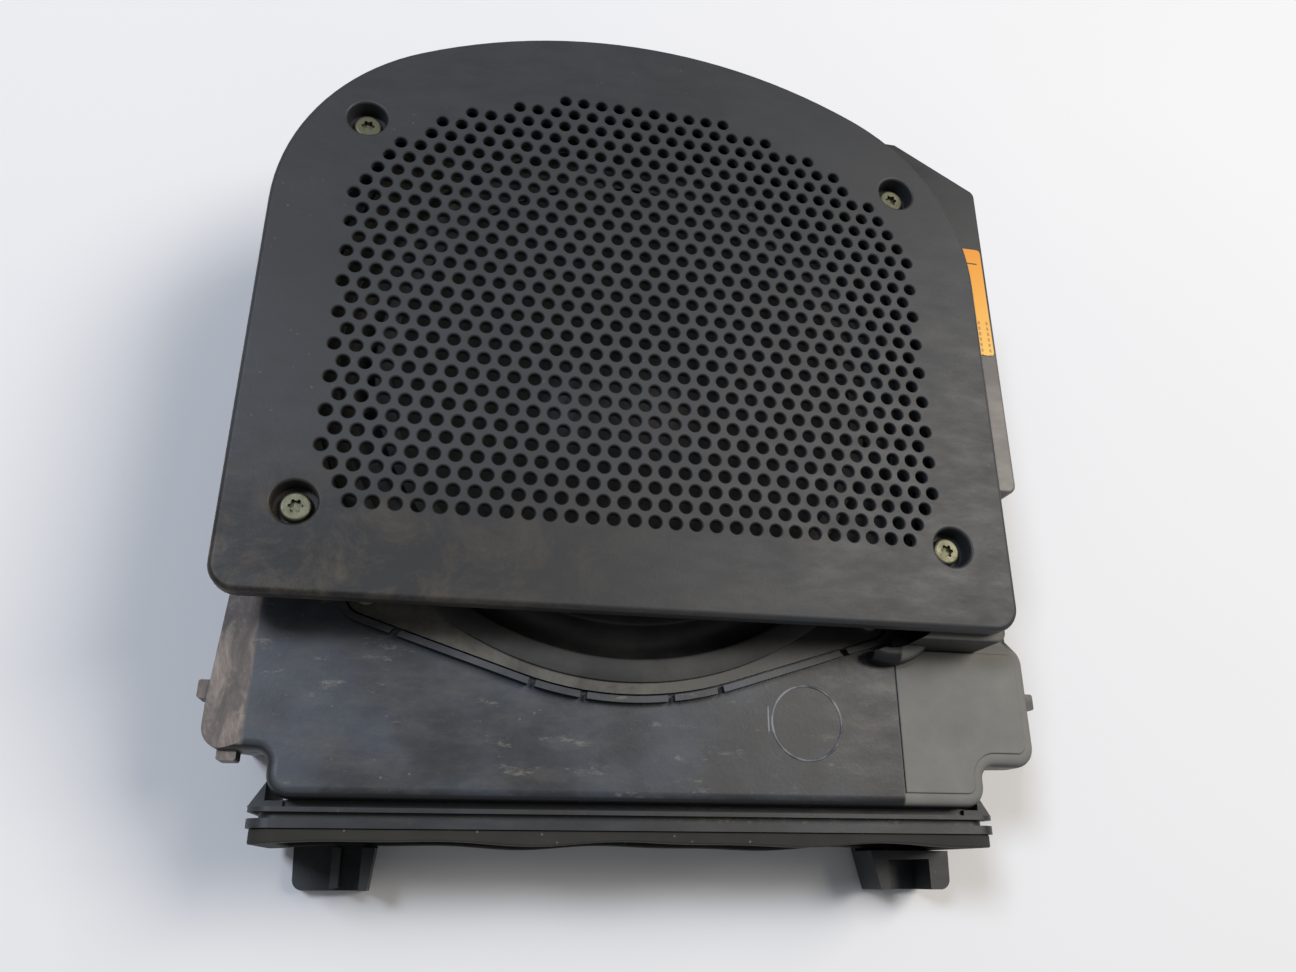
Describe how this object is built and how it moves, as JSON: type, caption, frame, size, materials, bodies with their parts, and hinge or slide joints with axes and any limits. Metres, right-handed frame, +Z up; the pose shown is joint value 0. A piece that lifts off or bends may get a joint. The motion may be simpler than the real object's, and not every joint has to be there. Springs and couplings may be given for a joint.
{
  "type": "under-seat woofer box",
  "caption": "Flat black under-seat speaker enclosure with a perforated cover over a large woofer, a sealed duct mouth in front and hooked feet below it.",
  "frame": {"origin": "on the floor face of the lower shell, straight below the woofer's axis", "axes": "+Z up along the woofer's axis and the way the woofer faces, +Y towards the rear, away from the duct mouth, +X to the right seen from the mouth"},
  "size_m": [0.2702, 0.2949, 0.086],
  "materials": {
    "shell": "satin moulded polypropylene",
    "mouth_frame": "moulded polypropylene",
    "seal": "soft rubber",
    "grille": "fine-grained moulded ABS",
    "cover_screw": "dull zinc",
    "basket": "black powder coat",
    "gasket": "foam rubber",
    "woofer_screw": "dull zinc",
    "cone": "black coated paper",
    "dust_cap": "black coated paper",
    "surround": "rubber",
    "spider": "resin-stiffened cotton",
    "former": "thin foil",
    "coil": "enamelled copper wire",
    "pole_steel": "zinc plated",
    "magnet": "sintered ferrite",
    "board": "phenolic board",
    "contact": "tinned brass",
    "braid": "copper braid",
    "socket": "moulded nylon",
    "wire": "PVC insulation",
    "label": "printed film"
  },
  "bodies": {
    "housing": {"upper_shell": "shell", "lower_shell": "shell", "mouth_frame": "mouth_frame", "mouth_seal": "seal", "grille_cover": "grille", "grille_screws": "cover_screw", "woofer_basket": "basket", "woofer_gasket": "gasket", "woofer_screws": "woofer_screw", "surround": "surround", "spider": "spider", "top_plate": "pole_steel", "magnet_ring": "magnet", "back_plate": "pole_steel", "terminal_strip": "board", "terminal_tabs": "contact", "tinsel_leads": "braid", "plug_socket": "socket", "socket_pins": "contact", "inner_wires": "wire", "label": "label"},
    "cone_body": {"cone": "cone", "dust_cap": "dust_cap", "voice_coil_former": "former", "voice_coil": "coil"}
  },
  "joints": [
    {"name": "cone_travel", "type": "slide", "parent": "housing", "child": "cone_body", "axis": [0, 0, 1], "range_m": [-0.006, 0.006], "stiffness_N_per_m": 2400, "deforming": ["surround", "spider", "tinsel_leads"]}
  ]
}
